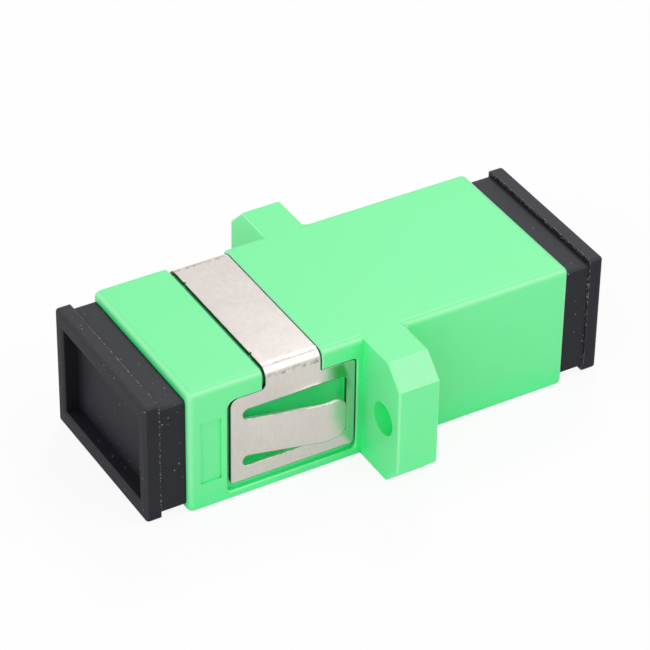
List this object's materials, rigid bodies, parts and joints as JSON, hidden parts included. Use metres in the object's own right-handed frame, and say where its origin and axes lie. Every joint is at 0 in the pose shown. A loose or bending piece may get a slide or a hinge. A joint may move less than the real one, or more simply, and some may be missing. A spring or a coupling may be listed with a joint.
{
  "type": "fibre optic adapter",
  "caption": "Simplex push-pull fibre optic adapter: a flanged green body with a spring clip over its top, a split sleeve between its ports and a pull-off dust cap in each end.",
  "frame": {"origin": "centre of the flange's front face, on the optical axis, midway between the two screw holes", "axes": "+Y along the optical axis to the rear port, +X across the flange, +Z out of the face that the clip's bridge crosses"},
  "size_m": [0.022, 0.034, 0.0094],
  "materials": {
    "housing_plastic": "moulded satin, light green",
    "clip_steel": "rolled stainless spring steel, satin",
    "latch_plastic": "moulded satin, off-white",
    "sleeve_ceramic": "ground zirconia, white",
    "cap_plastic": "soft moulded plastic, black satin"
  },
  "bodies": {
    "adapter": {"housing": "housing_plastic", "panel_clip": "clip_steel", "front_latch": "latch_plastic", "rear_latch": "latch_plastic", "alignment_sleeve": "sleeve_ceramic"},
    "front_cap": {"front_dust_cap": "cap_plastic"},
    "rear_cap": {"rear_dust_cap": "cap_plastic"}
  },
  "joints": [
    {"name": "front_cap_pull", "type": "slide", "parent": "adapter", "child": "front_cap", "axis": [0, -1, 0], "range_m": [0, 0.015]},
    {"name": "rear_cap_pull", "type": "slide", "parent": "adapter", "child": "rear_cap", "axis": [0, 1, 0], "range_m": [0, 0.015]}
  ]
}
